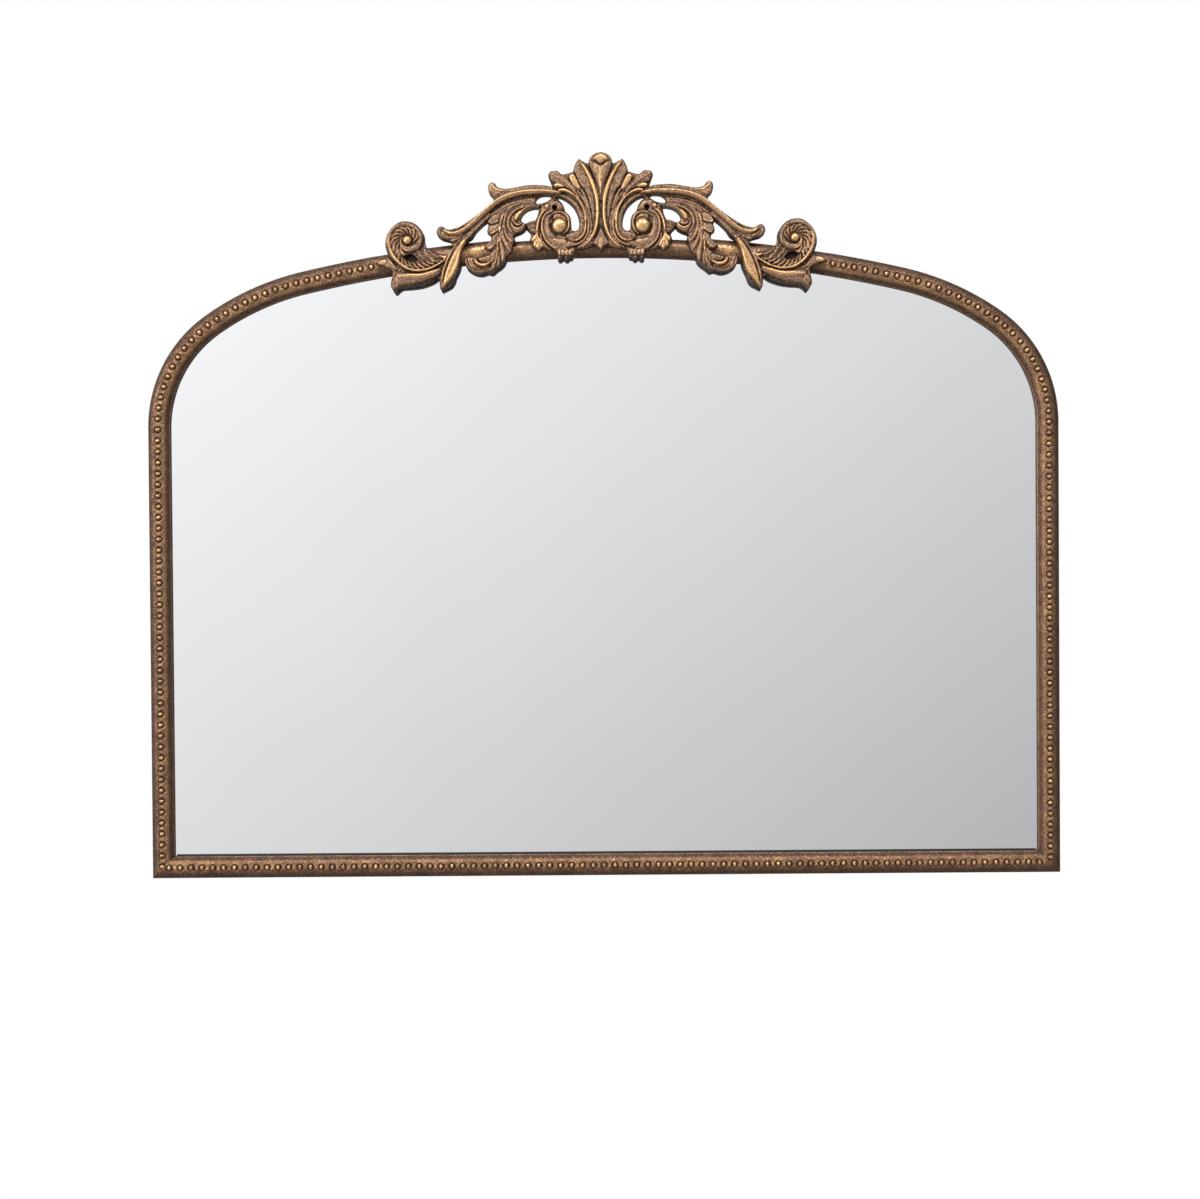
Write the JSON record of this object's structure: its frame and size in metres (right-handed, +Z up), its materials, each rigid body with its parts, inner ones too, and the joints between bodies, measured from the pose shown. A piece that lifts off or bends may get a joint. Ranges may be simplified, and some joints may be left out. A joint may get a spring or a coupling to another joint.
{
  "type": "arched wall mirror",
  "caption": "Wide wall mirror with a flat-arched top, a narrow beaded half-round frame and a pierced scroll-and-leaf crest; hangs from two swinging rings.",
  "frame": {"origin": "on the wall plane, midway between the two hanging rings, at the height of their bars", "axes": "+X along the width, to the viewer's right; +Y into the wall; +Z up"},
  "size_m": [0.914, 0.0365, 0.7215],
  "materials": {
    "bronze_steel": "antiqued bronze paint on rolled steel, rubbed gold on the high spots",
    "bronze_resin": "antiqued bronze paint on cast resin, rubbed gold on the high spots",
    "mirror_glass": "silvered float glass, polished",
    "board": "bare hardboard",
    "black_rubber": "matte black rubber",
    "foam": "white foam",
    "zinc_steel": "zinc-plated steel, satin",
    "raw_steel": "plain steel"
  },
  "bodies": {
    "mirror": {"side_moulding_left": "bronze_steel", "side_moulding_right": "bronze_steel", "bottom_rail": "bronze_steel", "top_bar": "bronze_steel", "corner_angle_left": "raw_steel", "corner_angle_right": "raw_steel", "splice_left": "raw_steel", "splice_right": "raw_steel", "mirror_plate": "mirror_glass", "setting_strip": "black_rubber", "foam_strip_left": "foam", "foam_strip_middle": "foam", "foam_strip_right": "foam", "backing_board": "board", "board_tabs": "zinc_steel", "crest": "bronze_resin", "crest_screws": "zinc_steel", "hanger_strap_left": "zinc_steel", "hanger_strap_right": "zinc_steel", "strap_screws_left": "zinc_steel", "strap_screws_right": "zinc_steel", "bumper_left": "black_rubber", "bumper_right": "black_rubber"},
    "ring_left": {"hanger_ring_left": "zinc_steel"},
    "ring_right": {"hanger_ring_right": "zinc_steel"}
  },
  "joints": [
    {"name": "ring_left_swing", "type": "hinge", "parent": "mirror", "child": "ring_left", "pos_m": [-0.28, -0.00265, 0], "axis": [1, 0, 0], "range_deg": [0, 180]},
    {"name": "ring_right_swing", "type": "hinge", "parent": "mirror", "child": "ring_right", "pos_m": [0.28, -0.00265, 0], "axis": [1, 0, 0], "range_deg": [0, 180]}
  ]
}
